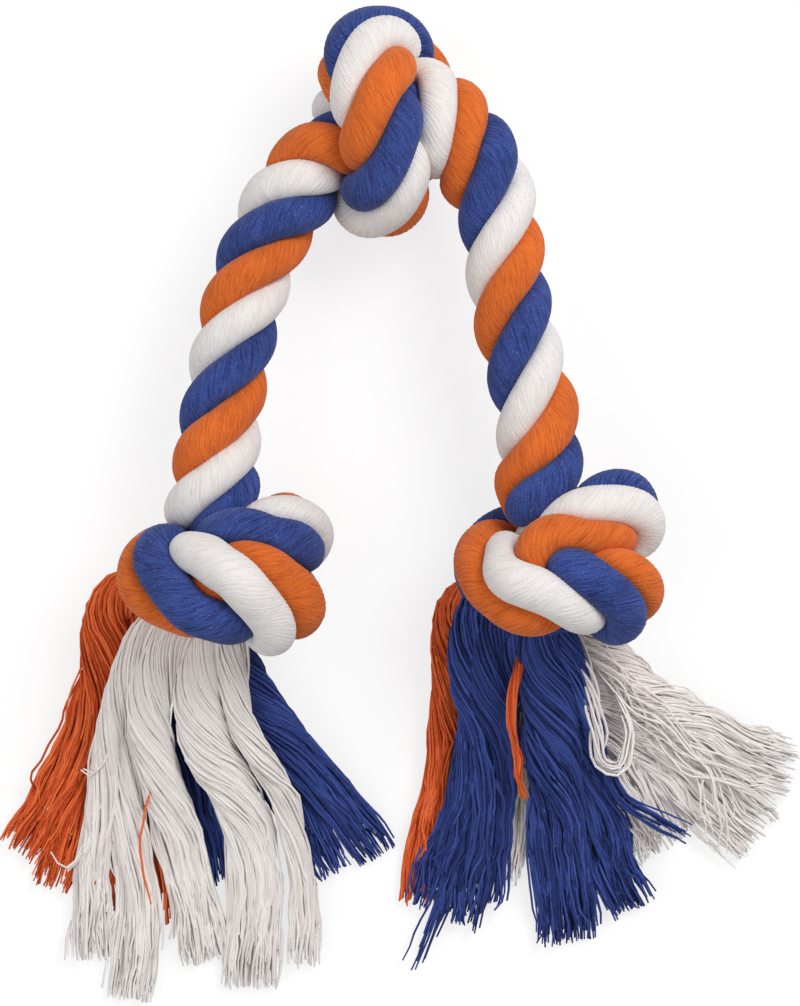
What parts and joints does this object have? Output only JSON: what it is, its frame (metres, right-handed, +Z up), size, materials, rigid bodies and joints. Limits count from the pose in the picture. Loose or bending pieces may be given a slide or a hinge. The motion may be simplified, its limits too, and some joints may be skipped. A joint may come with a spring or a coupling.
{
  "type": "rope dog toy",
  "caption": "Knotted cotton rope tug toy for dogs: thick laid rope in an arch with overhand knots and combed-out yarn tassels at both ends.",
  "frame": {"origin": "on the surface that the toy lies on, under the middle of its bounding box", "axes": "+Z up off the surface, +Y from the tassels towards the middle knot, +X from the left end towards the right end as seen from above"},
  "size_m": [0.2797, 0.3542, 0.0774],
  "materials": {
    "blue_cotton": "matte dyed cotton yarn",
    "orange_cotton": "matte dyed cotton yarn",
    "white_cotton": "matte undyed cotton yarn"
  },
  "bodies": {
    "middle_rope": {"middle_knot_blue": "blue_cotton", "middle_knot_orange": "orange_cotton", "middle_knot_white": "white_cotton", "left_bend_blue": "blue_cotton", "left_bend_orange": "orange_cotton", "left_bend_white": "white_cotton", "right_bend_blue": "blue_cotton", "right_bend_orange": "orange_cotton", "right_bend_white": "white_cotton"},
    "left_end": {"left_knot_blue": "blue_cotton", "left_knot_orange": "orange_cotton", "left_knot_white": "white_cotton"},
    "right_end": {"right_knot_blue": "blue_cotton", "right_knot_orange": "orange_cotton", "right_knot_white": "white_cotton"},
    "left_tassel": {"left_tassel_blue": "blue_cotton", "left_tassel_orange": "orange_cotton", "left_tassel_white": "white_cotton"},
    "right_tassel": {"right_tassel_blue": "blue_cotton", "right_tassel_orange": "orange_cotton", "right_tassel_white": "white_cotton"}
  },
  "joints": [
    {"name": "left_leg_bend", "type": "hinge", "parent": "middle_rope", "child": "left_end", "pos_m": [-0.0573, 0.0647, 0.038], "axis": [0, 0, -1], "range_deg": [0, 75], "deforming": ["left_bend_blue", "left_bend_orange", "left_bend_white"]},
    {"name": "right_leg_bend", "type": "hinge", "parent": "middle_rope", "child": "right_end", "pos_m": [0.0393, 0.075, 0.038], "axis": [0, 0, 1], "range_deg": [0, 75], "deforming": ["right_bend_blue", "right_bend_orange", "right_bend_white"]},
    {"name": "left_tassel_swing", "type": "hinge", "parent": "left_end", "child": "left_tassel", "pos_m": [-0.073, -0.047, 0.028], "axis": [0, 0, -1], "range_deg": [0, 25], "deforming": ["left_tassel_blue", "left_tassel_orange", "left_tassel_white"]},
    {"name": "right_tassel_swing", "type": "hinge", "parent": "right_end", "child": "right_tassel", "pos_m": [0.04, -0.046, 0.028], "axis": [0, 0, 1], "range_deg": [0, 25], "deforming": ["right_tassel_blue", "right_tassel_orange", "right_tassel_white"]}
  ]
}
